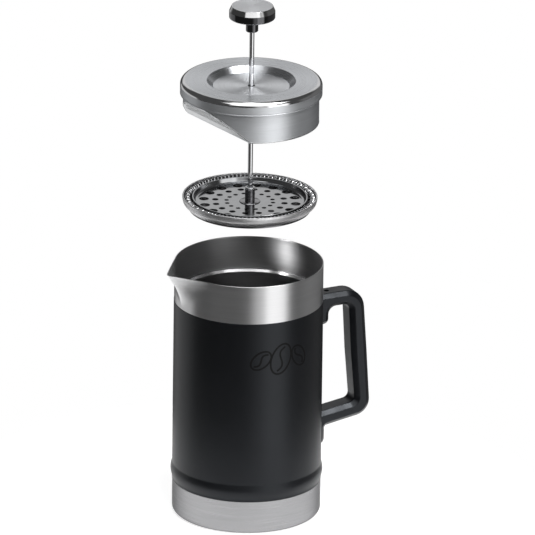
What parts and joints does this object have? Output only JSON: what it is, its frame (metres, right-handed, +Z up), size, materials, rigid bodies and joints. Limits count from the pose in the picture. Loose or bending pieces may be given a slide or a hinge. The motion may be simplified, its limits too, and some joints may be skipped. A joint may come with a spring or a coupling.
{
  "type": "french press",
  "caption": "Double-walled steel french press: jug with spout and loop handle, lid with a slanted strainer, and a plunger with a sprung mesh filter.",
  "frame": {"origin": "centre of the jug's base, on the surface it stands on", "axes": "+Z up along the jug's axis; +X towards the handle; the spout points along -X"},
  "size_m": [0.1801, 0.1228, 0.43],
  "materials": {
    "brushed_steel": "brushed round the jug",
    "inner_steel": "satin",
    "lid_steel": "spun, with a polished edge",
    "mesh_steel": "fine woven wire",
    "polished_steel": "mirror polished",
    "dark_chrome": "polished dark chrome",
    "black_paint": "matte powder coat",
    "handle_plastic": "satin, lightly grained",
    "bush_plastic": "smooth"
  },
  "bodies": {
    "jug": {"outer_shell": "black_paint", "spout_collar": "brushed_steel", "inner_liner": "inner_steel", "base_cup": "brushed_steel", "base_cover_disc": "brushed_steel", "vacuum_getter": "inner_steel", "handle": "handle_plastic", "upper_handle_bracket": "inner_steel", "lower_handle_bracket": "inner_steel", "upper_handle_screw": "dark_chrome", "lower_handle_screw": "dark_chrome"},
    "lid_guide": {"upper_rod_bush": "bush_plastic", "lower_rod_bush": "bush_plastic"},
    "lid": {"lid_cap": "lid_steel", "lid_skirt": "lid_steel", "lid_floor": "lid_steel", "pour_strainer": "lid_steel"},
    "plunger": {"plunger_rod": "polished_steel", "filter_hub": "polished_steel", "hub_washer": "polished_steel", "perforated_plate": "polished_steel", "rim_spring": "polished_steel", "mesh_screen": "mesh_steel", "cross_plate": "polished_steel", "filter_nut": "polished_steel", "knob_cap": "dark_chrome", "knob_base": "dark_chrome", "knob_ferrule": "dark_chrome"}
  },
  "joints": [
    {"name": "lid_lift", "type": "slide", "parent": "jug", "child": "lid_guide", "axis": [0, 0, 1], "range_m": [-0.1707, 0]},
    {"name": "lid_turn", "type": "hinge", "parent": "lid_guide", "child": "lid", "pos_m": [0, 0, 0.36], "axis": [0, 0, 1], "continuous": true},
    {"name": "plunge", "type": "slide", "parent": "lid_guide", "child": "plunger", "axis": [0, 0, 1], "range_m": [-0.0455, 0.0545]}
  ]
}
